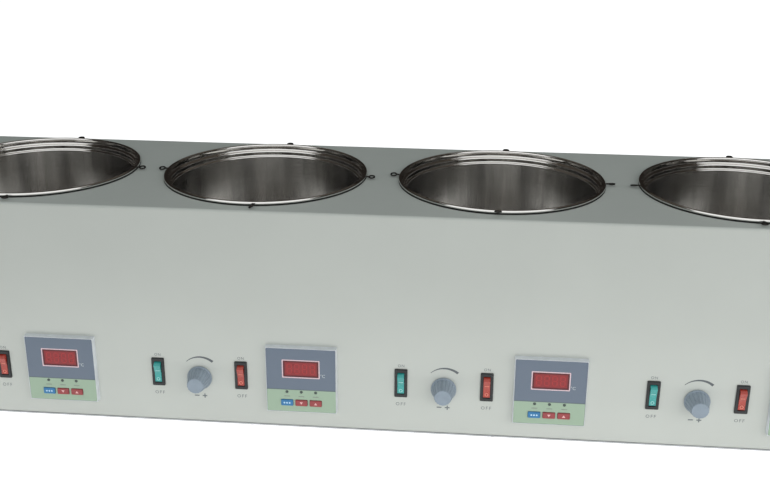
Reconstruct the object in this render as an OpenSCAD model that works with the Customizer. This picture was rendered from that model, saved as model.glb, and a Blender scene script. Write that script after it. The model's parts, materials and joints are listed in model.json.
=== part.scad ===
// Water bath magnetic stirrer: four stirring stations side by side in one long case.
// Millimetres. +Z is up, +X runs to the right along the front, and the front faces -Y.
// The origin lies on the bench, under the middle of the whole object.

/* [Case] */
// Distance from one station to the next
station_pitch = 255; // [245:1:290]
// Depth of the case from front to back
case_depth = 250; // [245:1:300]
// Height of the front panel
panel_height = 238; // [232:1:280]
// Thickness of the folded sheet
sheet = 1.2; // [1:0.1:1.6]
// Outside radius of the folds
fold_r = 3; // [2:0.5:4]
// Width of the in-turned lips and end flanges
lip = 14; // [12:1:18]
// Thickness of the base plate
base_t = 1.5; // [1.2:0.1:2.5]
// Set-back of the base plate's edge from the case
base_inset = 1.2; // [0.6:0.1:3]
// Diameter of a rubber foot at its top
foot_d = 26; // [20:1:34]
// Height of a rubber foot
foot_h = 12; // [9:0.5:18]
// Distance of a foot's axis from the edges of the case
foot_inset = 42; // [38:1:60]
// Length of a ventilation slot in an end panel
vent_len = 60; // [30:1:80]
// Width of a ventilation slot
vent_w = 4; // [3:0.5:6]
// Number of ventilation slots in an end panel
vent_count = 7; // [3:1:9]

/* [Screws] */
// Diameter of a case screw
screw_d = 4; // [3:0.5:5]
// Length of a case screw under its head
screw_len = 7; // [6:0.5:10]
// Height of a screw's head
head_h = 2.4; // [2:0.1:3]
// Clearance around a screw in its hole, across the diameter
screw_play = 0.3; // [0.2:0.05:0.6]

/* [Baths] */
// Outside diameter of a bath's rolled rim
rim_d = 220; // [204:1:222]
// Diameter of the rolled bead on the rim
bead_d = 3.6; // [3:0.1:5]
// Thickness of the spun sheet
bowl_t = 0.8; // [0.6:0.1:1]
// Depth from the rim to the floor of the bath
bowl_depth = 104; // [90:1:108]
// Height of the collar above the first step
collar_1 = 5.5; // [4.5:0.5:9]
// Height of the collar between the two steps
collar_2 = 3; // [2:0.5:8]
// Roll radius of the first step
step_r1 = 1.6; // [1.2:0.1:2.4]
// Roll radius of the second step
step_r2 = 1.2; // [1.1:0.1:2]
// Radius between the wall and the floor
corner_r = 14; // [8:1:18]
// Gap between a bowl's neck and the cut-out in the top
hole_gap = 0.5; // [0.3:0.1:0.8]
// Thickness of the seal under the rim
seal_t = 0.8; // [0.6:0.1:1.5]
// Width of the seal under the rim
seal_w = 2; // [1.5:0.1:3]

/* [Wire eyes] */
// Diameter of the wire
wire_d = 1.7; // [1.4:0.1:2.2]
// Outside diameter of an eye
eye_d = 7.6; // [6:0.1:8]
// Length of the shank between the rim and the eye
shank_len = 2.4; // [2:0.1:5]

/* [Heating and stirring] */
// Thickness of a heating mat
mat_t = 3; // [2:0.5:5]
// Outside radius of a heating mat
mat_r = 78; // [70:1:80]
// Inside radius of a heating mat
mat_hole_r = 38; // [36:1:42]
// Length and width of a temperature sensor
sensor_size = 12; // [10:1:16]
// Distance of a sensor from the bath's axis
sensor_at = 58; // [54:1:62]
// Diameter of a stirrer motor
motor_d = 37; // [30:1:42]
// Length of a stirrer motor
motor_len = 48; // [36:1:60]
// Diameter of the motor shaft
shaft_d = 4; // [3:0.5:6]
// Diameter of the magnet holder
holder_d = 62; // [50:1:68]
// Thickness of the magnet holder
holder_t = 9; // [8:0.5:12]
// Diameter of a drive magnet
magnet_d = 16; // [10:1:18]
// Thickness of a drive magnet
magnet_t = 6; // [4:0.5:7]
// Gap between the magnets and the underside of the bath
magnet_gap = 2.5; // [2:0.5:5]
// Space between the bracket's top and the magnet holder
rotor_gap = 12; // [9:1:20]
// Thickness of the motor bracket
bracket_t = 2; // [1.5:0.1:3]
// Width of the motor bracket from front to back
bracket_y = 46; // [40:1:56]
// Length of a foot of the motor bracket
bracket_foot = 16; // [14:1:22]

/* [Panel layout] */
// Height of the controls above the lower edge of the panel
control_height = 57; // [50:1:64]
// Place of the stirring switch, from the middle of its station
stir_switch_x = -96; // [-102:0.5:-92]
// Place of the speed knob
knob_x = -52; // [-56:0.5:-48]
// Drop of the speed knob below the line of the other controls
knob_drop = 4.6; // [0:0.1:8]
// Place of the heating switch
heat_switch_x = -8; // [-12:0.5:-4]
// Place of the temperature controller
controller_x = 56; // [54:0.5:64]

/* [Rocker switches] */
// Width of a switch bezel
bezel_w = 13.2; // [13:0.1:15]
// Height of a switch bezel
bezel_h = 31.6; // [31:0.1:34]
// How far a bezel stands out from the panel
bezel_t = 2; // [1.6:0.1:2.6]
// Width of a rocker
rocker_w = 6.8; // [6.4:0.1:8]
// Radius of a rocker's ends about its pivot
rocker_r = 12; // [11.4:0.1:13]
// Turn of a rocker from off to on, in degrees
rocker_throw = 20; // [16:1:24]
// Depth of the pivot behind the panel's face
pivot_depth = 2.4; // [2.2:0.1:3]
// Diameter of a rocker's pivot pins
pivot_d = 3; // [2:0.1:3.2]
// Wall of a switch body beside its rocker
switch_wall = 1.05; // [1:0.05:1.3]
// Depth of a switch body behind the panel's face
switch_depth = 24; // [20:1:30]

/* [Speed knobs] */
// Diameter of a knob's skirt
skirt_d = 26; // [25:0.5:30]
// Height of a knob's skirt
skirt_h = 2.6; // [2:0.1:4]
// Diameter of the grip where it leaves the skirt
grip_d = 24.4; // [22:0.1:24.6]
// Diameter of a knob's cap
cap_d = 17.5; // [15:0.5:21]
// Height of a knob
knob_h = 20; // [16.5:0.5:22]
// Gap between a knob and the panel
knob_gap = 0.8; // [0.5:0.1:1.5]
// Number of flutes round the grip
flute_count = 18; // [10:1:24]
// Radius of a flute
flute_r = 1.2; // [0.8:0.1:1.5]
// Diameter of the control shaft inside a knob
pot_shaft_d = 6; // [5:0.5:6.5]
// Diameter of the threaded bush of a speed control
bush_d = 9; // [8.5:0.5:10]
// Diameter of the body of a speed control
pot_d = 24; // [18:1:26]
// Depth of the body of a speed control
pot_depth = 12; // [10:1:16]

/* [Temperature controllers] */
// Side of a controller's square front where it meets the panel
face_side = 74; // [73:0.5:78]
// How far a controller stands out from the panel
frame_t = 6.5; // [5:0.1:8]
// How far the sides of the front slope in, from the panel to the face
frame_slope = 0.5; // [0.3:0.1:1]
// Width of the frame around the face plate
frame_edge = 0.4; // [0.3:0.1:0.8]
// Width of the flange between the front and the case of a controller
frame_flange = 3.2; // [3:0.1:4]
// Thickness of the face plate
face_t = 1.6; // [1.2:0.1:2]
// Wall of the case of a controller
case_wall = 1.7; // [1.4:0.1:2]
// Depth of the case of a controller behind the panel
controller_depth = 78; // [60:1:84]
// Width of the display window
window_w = 36.5; // [34:0.5:44]
// Height of the display window
window_h = 18; // [16:0.1:22]
// Height of the window's middle above the middle of the face
window_y = 13.2; // [12:0.1:16]
// Distance from one key or lamp to the next
key_pitch = 15; // [14.5:0.1:17]
// Width of a key
key_w = 12.4; // [11:0.1:12.8]
// Height of a key
key_h = 6.8; // [6:0.1:9]
// Depth of the keys' middle below the middle of the face
key_y = 25.7; // [24:0.1:27]
// How far a key stands out from the face
key_proud = 1.2; // [1:0.1:2]
// Diameter of an indicator lamp
lamp_d = 3; // [2:0.1:4]
// Depth of the lamps' middle below the middle of the face
lamp_y = 13.3; // [12:0.1:15]

/* [Inside the case] */
// Width of a speed board
board_w = 90; // [70:1:100]
// Depth of a speed board from front to back
board_d = 52; // [40:1:56]
// Gap between the boards and the back of the case
board_gap = 27; // [20:1:34]
// Height of the pillars under a board
pillar_h = 10; // [8:1:16]
// Diameter of a pillar
pillar_d = 6; // [5:0.5:8]

/* [Mains inlet] */
// Width of the inlet's flange
inlet_w = 32; // [31:0.5:36]
// Height of the inlet's flange
inlet_h = 42; // [40:0.5:48]
// How far the inlet's flange stands out from the back
inlet_t = 2.6; // [2:0.1:3.5]
// Depth of the inlet's body behind its flange
inlet_depth = 26; // [22:1:28]
// Distance of the inlet's axis from the end of the case
inlet_from_end = 55; // [40:1:70]
// Depth of the inlet's socket
socket_depth = 19; // [17:0.5:20]

/* [Hidden] */
$fn = 64;

// Overshoot of a cut past the face that it opens
cut = 1;
// Small gap between faces that only rest on each other
rest_gap = 0.05;
// Radial clearance of a turning pin or shaft
run_gap = 0.05;
// Clearance round a piece that drops into an opening, on each side
slip = 0.2;
// Clearance round a piece that travels in an opening, on each side
travel_gap = 0.3;
// How far a bath's neck stands back under its bead
bead_tuck = 0.3;

stations = 4;
// Wire eyes of each bath, in the order right, back, left and front. They are brazed on by hand, so each
// has its own degrees off the quarter, lean about its shank and rise of its shank.
eye_set = [
    [[1, 12, 0], [-3, 0, 0], [0, -12, 0], [5, 0, 0]],
    [[-3, 8, 0], [-3, 0, 0], [-1, -12, 0], [4, 30, 0]],
    [[-2, -24, 0], [-3, 0, 0], [-3, -12, 0], [-2, 0, 26]],
    [[3, 12, 0], [-3, 0, 0], [3, 14, 0], [-3, 0, 0]]
];

case_len = stations * station_pitch;
wrap_len = case_len - 2 * sheet;
knob_reach = knob_gap + knob_h;
front_y = (knob_reach - inlet_t - case_depth) / 2;
back_y = front_y + case_depth;
mid_y = front_y + case_depth / 2;
case_z = foot_h + base_t;
top_z = case_z + panel_height;
control_z = case_z + control_height;
// Middle of a lip or flange, from the outside of the case
lip_mid = (sheet + lip) / 2;
screw_hole_d = screw_d + screw_play;
head_d = 1.9 * screw_d;

// Bath section, from the rim down
rim_r = rim_d / 2;
bead_r = bead_d / 2;
rim_z = top_z + seal_t + rest_gap + bead_d;
bead_z = rim_z - bead_r;
neck_r = rim_r - bead_d + bead_tuck;
hole_r = neck_r + bowl_t + hole_gap;
collar_r = neck_r - 2 * step_r1;
wall_r = collar_r - 2 * step_r2;
step_1_z = rim_z - collar_1 - 2 * step_r1;
step_2_z = step_1_z - collar_2 - 2 * step_r2;
floor_z = rim_z - bowl_depth;
under_z = floor_z - bowl_t;

// Drive under a bath, from the floor down
holder_z = under_z - magnet_gap - holder_t;
bracket_z = holder_z - rotor_gap;
boss_d = motor_d * 0.3;
boss_h = bracket_t + 1.5;
hub_d = shaft_d + 10;
hub_h = rotor_gap - boss_h + bracket_t - 3;
shaft_sunk = 20;
bracket_span = motor_d + 24;
bracket_feet_x = bracket_span / 2 + bracket_t + bracket_foot / 2;

// Switches
switch_w = rocker_w + 2 * travel_gap + 2 * switch_wall;
switch_h = 2 * rocker_r + 2.2;
rocker_slope = rocker_throw / 2;
// Height of the rocker's middle crease over its pivot, so that the pressed half lies just proud of the bezel
crease_h = (bezel_t + pivot_depth + 0.4) / cos(rocker_slope);
rocker_back = 4;

// Speed controls
nut_h = 2.6;
nut_across = bush_d + 4.5;
bush_len = nut_h + 3;
shaft_tip = knob_gap + knob_h * 0.72;

// Controllers
case_side = face_side - 2 * frame_flange;
cutout_side = case_side + 2 * slip;
face_plate = face_side - 2 * (frame_slope + frame_edge + slip);
face_drop = 0.2;
face_z = frame_t - face_drop;
plate_back = face_z - face_t;
cavity_side = case_side - 2 * case_wall;
ledge_t = 0.9;
ledge_w = 1.5;
key_round = 0.9;
key_ledge = 0.7;
clip_w = 6;
clip_h = 20;

// Boards, by their middle
board_y = back_y - board_gap - board_d / 2;

// Mains inlet
inlet_x = case_len / 2 - inlet_from_end;
inlet_body_w = inlet_w - 4.6;
inlet_body_h = inlet_h - 5;
socket_w = 24.6;
socket_h = 17;
socket_y = inlet_h / 2 - socket_h / 2 - 5;
pin_w = 4;
pin_t = 2;
pin_short = 6;

paint = [0.78, 0.80, 0.77];
stainless = [0.62, 0.61, 0.58];
dark_wire = [0.2, 0.2, 0.2];
zinc = [0.7, 0.71, 0.72];
rubber_black = [0.12, 0.12, 0.12];
silicone_red = [0.62, 0.25, 0.18];
plastic_black = [0.1, 0.11, 0.12];
knob_grey = [0.58, 0.61, 0.67];
slate = [0.45, 0.49, 0.55];
switch_green = [0.1, 0.6, 0.58];
switch_red = [0.85, 0.2, 0.12];
window_red = [0.62, 0.22, 0.22];
key_blue = [0.2, 0.45, 0.65];
key_red = [0.62, 0.25, 0.27];
board_green = [0.1, 0.38, 0.22];
brass = [0.72, 0.6, 0.3];
magnet_grey = [0.45, 0.45, 0.47];

function station_x(i) = (i - (stations - 1) / 2) * station_pitch;

// Points along an arc, from one angle to another
function arc(x, y, r, from, to, steps) =
    [for (k = [0:steps]) let (a = from + (to - from) * k / steps) [x + r * cos(a), y + r * sin(a)]];

function reversed(points) = [for (k = [len(points) - 1:-1:0]) points[k]];

// One face of a bath's sheet from the middle of the floor up to the bead, as radius and height.
// The inner face has no offset, and the outer face lies one thickness away from it.
function bowl_face(away) = concat(
    [[0, floor_z - away]],
    arc(wall_r - corner_r, floor_z + corner_r, corner_r + away, -90, 0, 6),
    arc(wall_r + step_r2, step_2_z, step_r2 - away, 180, 90, 4),
    arc(collar_r - step_r2, step_2_z + 2 * step_r2, step_r2 + away, -90, 0, 4),
    arc(collar_r + step_r1, step_1_z, step_r1 - away, 180, 90, 4),
    arc(neck_r - step_r1, step_1_z + 2 * step_r1, step_r1 + away, -90, 0, 4),
    [[neck_r + away, bead_z]]
);

// Places of the screws in the end flanges, as depth and height
end_screw_places = concat(
    [for (y = [front_y + lip_mid, back_y - lip_mid], part = [0.25, 0.75]) [y, case_z + part * panel_height]],
    [for (side = [-1, 1]) [mid_y + side * case_depth / 4, top_z - lip_mid]]
);
// Places of the screws through the base plate, as length and depth
lip_screw_places = [for (i = [0:stations - 1], y = [front_y + lip_mid, back_y - lip_mid]) [station_x(i), y]];
bracket_screw_places = [
    for (i = [0:stations - 1], sx = [-1, 1], sy = [-1, 1])
        [station_x(i) + sx * bracket_feet_x, mid_y + sy * bracket_y / 4]
];
foot_places = [
    for (x = [-case_len / 2 + foot_inset, 0, case_len / 2 - foot_inset], sy = [-1, 1])
        [x, mid_y + sy * (case_depth / 2 - foot_inset)]
];
pillar_places = [
    for (i = [0:stations - 1], sx = [-1, 1], sy = [-1, 1])
        [station_x(i) + sx * (board_w / 2 - pillar_d), board_y + sy * (board_d / 2 - pillar_d)]
];

module rounded_rect(w, h, r) {
    square([w - 2 * r, h], center = true);
    square([w, h - 2 * r], center = true);
    for (sx = [-1, 1], sy = [-1, 1])
        translate([sx * (w / 2 - r), sy * (h / 2 - r)]) circle(r);
}

module plate(w, h, t, r) {
    linear_extrude(t) rounded_rect(w, h, r);
}

// Section of the case, drawn in from the outside
module case_outline(inset) {
    rounded_rect(case_depth - 2 * inset, panel_height - 2 * inset, fold_r - inset);
}

// Puts a section, drawn as depth and height, along the length
module along_x(length) {
    rotate([90, 0, 90]) linear_extrude(length, center = true) children();
}

module at_case_middle() {
    translate([0, mid_y, case_z + panel_height / 2]) children();
}

module each_station() {
    for (i = [0:stations - 1]) translate([station_x(i), 0, 0]) children();
}

module at_bath(i) {
    translate([station_x(i), mid_y, 0]) children();
}

// A place on the front panel: X to the right, Y up and Z out of the panel
module on_front(i, dx, drop = 0) {
    translate([station_x(i) + dx, front_y, control_z - drop]) rotate([90, 0, 0]) children();
}

module on_each_front(dx, drop = 0) {
    for (i = [0:stations - 1]) on_front(i, dx, drop) children();
}

// A place on the back: Y up and Z out of the panel
module on_back(x, z) {
    translate([x, back_y, z]) rotate([90, 0, 180]) children();
}

// A pan head screw that stands on its head's seat and points down
module screw() {
    dome = head_h / 3;
    difference() {
        union() {
            rotate_extrude() polygon([
                [0, 0], [head_d / 2, 0], [head_d / 2, head_h - dome],
                [head_d / 2 - dome, head_h], [0, head_h]
            ]);
            translate([0, 0, -screw_len]) cylinder(d = screw_d, h = screw_len);
        }
        translate([0, 0, head_h / 2]) cylinder(d = screw_d * 0.6, h = head_h, $fn = 6);
    }
}

module at_end_screws(side) {
    for (place = end_screw_places)
        translate([side * case_len / 2, place[0], place[1]]) rotate([0, side * 90, 0]) children();
}

module below_base(places) {
    for (place = places) translate([place[0], place[1], foot_h]) rotate([180, 0, 0]) children();
}

module screw_hole(length) {
    cylinder(d = screw_hole_d, h = length, center = true);
}

// Front, top and back are one folded sheet, with flanges at the ends and lips along the bottom
module wrap_panel() {
    through = 3 * sheet;
    color(paint) difference() {
        at_case_middle() along_x(wrap_len) case_outline(0);
        at_case_middle() along_x(wrap_len - 2 * sheet) case_outline(sheet);
        at_case_middle() along_x(wrap_len + 2 * cut)
            translate([0, -lip]) square([case_depth - 2 * lip, panel_height], center = true);
        each_station() translate([0, mid_y, top_z]) cylinder(r = hole_r, h = through, center = true);
        for (x = [stir_switch_x, heat_switch_x])
            on_each_front(x) cube([switch_w + 2 * slip, switch_h + 2 * slip, through], center = true);
        on_each_front(knob_x, knob_drop) cylinder(d = bush_d + 2 * slip, h = through, center = true);
        on_each_front(controller_x) cube([cutout_side, cutout_side, through], center = true);
        on_back(inlet_x, control_z)
            cube([inlet_body_w + 2 * slip, inlet_body_h + 2 * slip, through], center = true);
        for (side = [-1, 1]) at_end_screws(side) screw_hole(6 * sheet);
        below_base(lip_screw_places) screw_hole(4 * (base_t + sheet));
    }
}

module end_panel(side) {
    slot_step = 2.6 * vent_w;
    color(paint) difference() {
        translate([side * (case_len - sheet) / 2, 0, 0]) at_case_middle() along_x(sheet) case_outline(0);
        at_end_screws(side) screw_hole(4 * sheet);
        translate([side * case_len / 2, mid_y, case_z + panel_height / 3])
            for (k = [0:vent_count - 1])
                translate([0, 0, (k - (vent_count - 1) / 2) * slot_step])
                    along_x(4 * sheet) rounded_rect(vent_len, vent_w, vent_w / 2 - rest_gap);
    }
}

module base_plate() {
    color(zinc) difference() {
        translate([0, mid_y, foot_h])
            plate(case_len - 2 * base_inset, case_depth - 2 * base_inset, base_t, fold_r);
        below_base(concat(lip_screw_places, bracket_screw_places, foot_places)) screw_hole(4 * base_t);
    }
}

module rubber_feet() {
    recess_h = foot_h / 2;
    color(rubber_black) for (place = foot_places) translate([place[0], place[1], 0]) difference() {
        cylinder(d1 = foot_d - 3, d2 = foot_d, h = foot_h);
        translate([0, 0, -cut]) cylinder(d = head_d + 2, h = recess_h + cut);
        cylinder(d = screw_hole_d, h = foot_h + cut);
    }
}

// Each foot's screw goes up through the foot into the base plate
module foot_screws() {
    color(zinc) below_base(foot_places) translate([0, 0, foot_h / 2]) {
        cylinder(d = head_d, h = head_h);
        translate([0, 0, -foot_h / 2 - screw_len]) cylinder(d = screw_d, h = foot_h / 2 + screw_len);
    }
}

module case_screws() {
    color(zinc) {
        for (side = [-1, 1]) at_end_screws(side) screw();
        below_base(concat(lip_screw_places, bracket_screw_places)) screw();
    }
}

// A spun bowl with a rolled rim and a collar of two steps
module bath_bowl(i) {
    color(stainless) at_bath(i) {
        rotate_extrude($fn = 96) polygon(concat(bowl_face(0), reversed(bowl_face(bowl_t))));
        rotate_extrude($fn = 96) translate([rim_r - bead_r, bead_z]) circle(bead_r, $fn = 32);
    }
}

module rim_seals() {
    color(rubber_black) for (i = [0:stations - 1]) at_bath(i) translate([0, 0, top_z])
        difference() {
            cylinder(r = hole_r + seal_w, h = seal_t);
            translate([0, 0, -cut]) cylinder(r = hole_r, h = seal_t + 2 * cut);
        }
}

// Wire eyes brazed to the outside of each rim
module rim_eyes() {
    ring_r = (eye_d - wire_d) / 2;
    ring_at = shank_len + eye_d / 2;
    color(dark_wire) for (i = [0:stations - 1], k = [0:3]) {
        off = eye_set[i][k][0];
        lean = eye_set[i][k][1];
        rise = eye_set[i][k][2];
        at_bath(i) rotate([0, 0, 90 * k + off])
            translate([rim_r + rest_gap + sin(rise) * wire_d / 2, 0, bead_z]) rotate([lean, -rise, 0]) {
                rotate([0, 90, 0]) cylinder(d = wire_d, h = ring_at - ring_r);
                translate([ring_at, 0, 0]) rotate_extrude() translate([ring_r, 0]) circle(d = wire_d);
            }
    }
}

// A ring of heating mat bonded under each bath, with a window for the sensor
module heating_mats() {
    window = sensor_size + 2 * slip;
    tab_w = 18;
    tab_len = 20;
    tab_out = 4;
    color(silicone_red) each_station() translate([0, mid_y, under_z - mat_t]) difference() {
        union() {
            cylinder(r = mat_r, h = mat_t);
            translate([0, mat_r + tab_out - tab_len / 2, mat_t / 2])
                cube([tab_w, tab_len, mat_t], center = true);
        }
        translate([0, 0, -cut]) cylinder(r = mat_hole_r, h = mat_t + 2 * cut);
        translate([sensor_at, 0, mat_t / 2]) cube([window, window, mat_t + 2 * cut], center = true);
    }
}

module temperature_sensors() {
    body_h = mat_t + 5;
    lead_d = sensor_size / 3;
    lead_len = 10;
    color(zinc) for (i = [0:stations - 1]) at_bath(i) translate([sensor_at, 0, under_z - body_h]) {
        translate([0, 0, body_h / 2]) cube([sensor_size, sensor_size, body_h], center = true);
        translate([sensor_size / 2 - cut, 0, lead_d / 2]) rotate([0, 90, 0])
            cylinder(d = lead_d, h = lead_len + cut);
    }
}

// A bridge of folded strip over each motor
module motor_brackets() {
    half = bracket_span / 2 + bracket_t;
    rise = bracket_z - case_z;
    color(zinc) for (i = [0:stations - 1]) at_bath(i) difference() {
        translate([0, 0, case_z]) rotate([90, 0, 0]) linear_extrude(bracket_y, center = true) difference() {
            union() {
                translate([-half - bracket_foot, 0]) square([2 * (half + bracket_foot), bracket_t]);
                translate([-half, 0]) square([2 * half, rise]);
            }
            translate([-bracket_span / 2, -cut]) square([bracket_span, rise + cut - bracket_t]);
        }
        translate([0, 0, bracket_z]) cylinder(d = boss_d + 2 * slip, h = 4 * bracket_t, center = true);
        for (sx = [-1, 1], sy = [-1, 1])
            translate([sx * bracket_feet_x, sy * bracket_y / 4, case_z]) screw_hole(4 * bracket_t);
    }
}

module stirrer_motors() {
    bell = 3;
    tail_d = motor_d / 3;
    top = bracket_z - bracket_t;
    color(magnet_grey) for (i = [0:stations - 1]) at_bath(i) translate([0, 0, top]) difference() {
        rotate_extrude() polygon([
            [0, -motor_len - bell], [tail_d / 2, -motor_len - bell], [tail_d / 2, -motor_len],
            [motor_d / 2 - bell, -motor_len], [motor_d / 2, -motor_len + bell], [motor_d / 2, 0],
            [boss_d / 2, 0], [boss_d / 2, boss_h], [0, boss_h]
        ]);
        translate([0, 0, -shaft_sunk - cut])
            cylinder(d = shaft_d + 2 * run_gap, h = shaft_sunk + boss_h + 2 * cut);
    }
}

// Motor shaft, magnet holder and two magnets, which turn together
module magnet_rotor(i) {
    shaft_bottom = bracket_z - bracket_t - shaft_sunk;
    magnet_at = holder_d / 2 - magnet_d / 2 - 3;
    pocket_z = holder_z + holder_t - magnet_t;
    at_bath(i) {
        color(zinc) translate([0, 0, shaft_bottom])
            cylinder(d = shaft_d, h = holder_z + holder_t - shaft_bottom);
        color(stainless) difference() {
            union() {
                translate([0, 0, holder_z]) cylinder(d = holder_d, h = holder_t);
                translate([0, 0, holder_z - hub_h]) cylinder(d = hub_d, h = hub_h + cut);
            }
            translate([0, 0, holder_z - hub_h - cut])
                cylinder(d = shaft_d + 2 * run_gap, h = hub_h + holder_t + 2 * cut);
            for (side = [-1, 1]) translate([side * magnet_at, 0, pocket_z - rest_gap])
                cylinder(d = magnet_d + 2 * run_gap, h = magnet_t + cut);
        }
        color(magnet_grey) for (side = [-1, 1])
            translate([side * magnet_at, 0, pocket_z]) cylinder(d = magnet_d, h = magnet_t);
    }
}

// Snap-in housings: a bezel in front of the panel, a body behind it and three blade terminals
module switch_bodies() {
    mouth_w = rocker_w + 2 * travel_gap;
    mouth_h = 2 * (rocker_r + travel_gap);
    edge = 0.5;
    blade_len = 9;
    color(plastic_black) for (x = [stir_switch_x, heat_switch_x]) on_each_front(x) {
        difference() {
            union() {
                plate(bezel_w, bezel_h, bezel_t - edge, 1);
                plate(bezel_w - 2 * edge, bezel_h - 2 * edge, bezel_t, 1 - edge / 2);
                translate([-switch_w / 2, -switch_h / 2, -switch_depth])
                    cube([switch_w, switch_h, switch_depth + edge]);
                for (y = [-1, 0, 1] * switch_h / 3)
                    translate([-3.15, y - 0.4, -switch_depth - blade_len]) cube([6.3, 0.8, blade_len + cut]);
            }
            translate([-mouth_w / 2, -mouth_h / 2, -pivot_depth - rocker_r * 0.7])
                cube([mouth_w, mouth_h, switch_depth]);
            translate([0, 0, -pivot_depth]) rotate([0, 90, 0])
                cylinder(d = pivot_d + 2 * run_gap, h = 2 * switch_w, center = true);
        }
    }
}

// A rocker stands in its off position, with the lower half pressed in
module rocker(i, x, tint) {
    reach = 2 * rocker_r;
    rise = reach * tan(rocker_slope);
    color(tint) on_front(i, x) translate([0, 0, -pivot_depth]) rotate([rocker_slope, 0, 0]) {
        along_x(rocker_w) intersection() {
            circle(rocker_r);
            polygon([
                [-reach, crease_h + rise], [0, crease_h], [reach, crease_h + rise],
                [reach, -rocker_back], [-reach, -rocker_back]
            ]);
        }
        rotate([0, 90, 0]) cylinder(d = pivot_d, h = switch_w - 0.4, center = true);
    }
}

// Body and threaded bush of a speed control, held in the panel by its nut
module speed_controls() {
    color(zinc) on_each_front(knob_x, knob_drop) difference() {
        union() {
            translate([0, 0, -sheet - pot_depth]) cylinder(d = pot_d, h = pot_depth);
            translate([0, 0, -sheet - cut]) cylinder(d = bush_d, h = sheet + cut + bush_len);
            translate([0, -pot_d / 2 - 2, -sheet - pot_depth / 2]) cube([pot_d * 0.6, 10, 3], center = true);
        }
        translate([0, 0, -sheet - pot_depth + 2])
            cylinder(d = pot_shaft_d + 2 * run_gap, h = pot_depth + bush_len + sheet + cut);
    }
}

module control_nuts() {
    color(brass) on_each_front(knob_x, knob_drop) difference() {
        cylinder(d = nut_across / cos(30), h = nut_h, $fn = 6);
        translate([0, 0, -cut]) cylinder(d = bush_d + 2 * run_gap, h = nut_h + 2 * cut);
    }
}

module control_shaft(i) {
    bottom = -sheet - pot_depth + 2.5;
    color(zinc) on_front(i, knob_x, knob_drop) translate([0, 0, bottom])
        cylinder(d = pot_shaft_d, h = shaft_tip - bottom);
}

// A fluted, tapered grip on a plain skirt, hollow underneath for the nut
module speed_knob(i) {
    grip_z = knob_gap + skirt_h;
    top = knob_gap + knob_h;
    bevel = 0.7;
    taper = atan((grip_d - cap_d) / 2 / (top - grip_z));
    hollow_d = nut_across / cos(30) + 2;
    hollow_h = bush_len + 1 - knob_gap;
    color(knob_grey) on_front(i, knob_x, knob_drop) difference() {
        rotate_extrude() polygon([
            [0, knob_gap], [skirt_d / 2, knob_gap],
            [skirt_d / 2, grip_z - bevel], [skirt_d / 2 - bevel, grip_z], [grip_d / 2, grip_z],
            [cap_d / 2, top - bevel], [cap_d / 2 - bevel, top], [0, top]
        ]);
        translate([0, 0, knob_gap - cut]) cylinder(d = hollow_d, h = hollow_h + cut);
        translate([0, 0, knob_gap])
            cylinder(d = pot_shaft_d + 2 * run_gap, h = shaft_tip + rest_gap - knob_gap);
        for (k = [0:flute_count - 1])
            rotate([0, 0, k * 360 / flute_count]) translate([grip_d / 2 + flute_r * 0.35, 0, grip_z + 0.6])
                rotate([0, -taper, 0]) cylinder(r = flute_r, h = knob_h, $fn = 24);
    }
}

// A square plate whose four sides slope in towards its front
module sloped_plate(side, t, slope) {
    half = side / 2;
    intersection() {
        rotate([90, 0, 0]) linear_extrude(side, center = true)
            polygon([[-half, 0], [half, 0], [half - slope, t], [slope - half, t]]);
        rotate([90, 0, 90]) linear_extrude(side, center = true)
            polygon([[-half, 0], [half, 0], [half - slope, t], [slope - half, t]]);
    }
}

// Square front frame in front of the panel, and the case behind it
module controller_cases() {
    terminal_h = 14;
    terminal_t = 4;
    terminal_in = 12;
    color(slate) on_each_front(controller_x) difference() {
        union() {
            sloped_plate(face_side, frame_t, frame_slope);
            translate([0, 0, -controller_depth]) plate(case_side, case_side, controller_depth + cut, 1);
            for (side = [-1, 1])
                translate([0, side * (case_side / 2 - terminal_in), -controller_depth + (cut - terminal_t) / 2])
                    cube([case_side - 2 * terminal_t, terminal_h, terminal_t + cut], center = true);
        }
        translate([0, 0, plate_back]) plate(face_plate + 2 * slip, face_plate + 2 * slip, frame_t, 1);
        translate([0, 0, plate_back + cut - controller_depth * 0.75])
            plate(cavity_side, cavity_side, controller_depth * 0.75, 1);
    }
}

module key_places() {
    for (k = [-1, 0, 1]) translate([k * key_pitch, 0, 0]) children();
}

module controller_faces() {
    color(slate) on_each_front(controller_x) translate([0, 0, plate_back]) difference() {
        plate(face_plate, face_plate, face_t, 0.9);
        translate([0, window_y, -cut]) plate(window_w + 2 * slip, window_h + 2 * slip, face_t + 2 * cut, 0.6);
        translate([0, -lamp_y, -cut]) key_places() cylinder(d = lamp_d + 2 * slip, h = face_t + 2 * cut);
        translate([0, -key_y, -cut]) key_places()
            plate(key_w + 2 * travel_gap, key_h + 2 * travel_gap, face_t + 2 * cut, key_round);
    }
}

// Each window has a ledge behind the face plate
module display_windows() {
    color(window_red) on_each_front(controller_x) translate([0, window_y, plate_back - rest_gap]) {
        translate([0, 0, -ledge_t]) plate(window_w + 2 * ledge_w, window_h + 2 * ledge_w, ledge_t, 0.6);
        translate([0, 0, -ledge_t]) plate(window_w, window_h, ledge_t + face_t - face_drop, 0.5);
    }
}

module indicator_lamps() {
    color(rubber_black) on_each_front(controller_x)
        translate([0, -lamp_y, plate_back - rest_gap]) key_places() {
            translate([0, 0, -ledge_t]) cylinder(d = lamp_d + 1, h = ledge_t);
            translate([0, 0, -ledge_t]) cylinder(d = lamp_d, h = ledge_t + face_t + rest_gap);
        }
}

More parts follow.
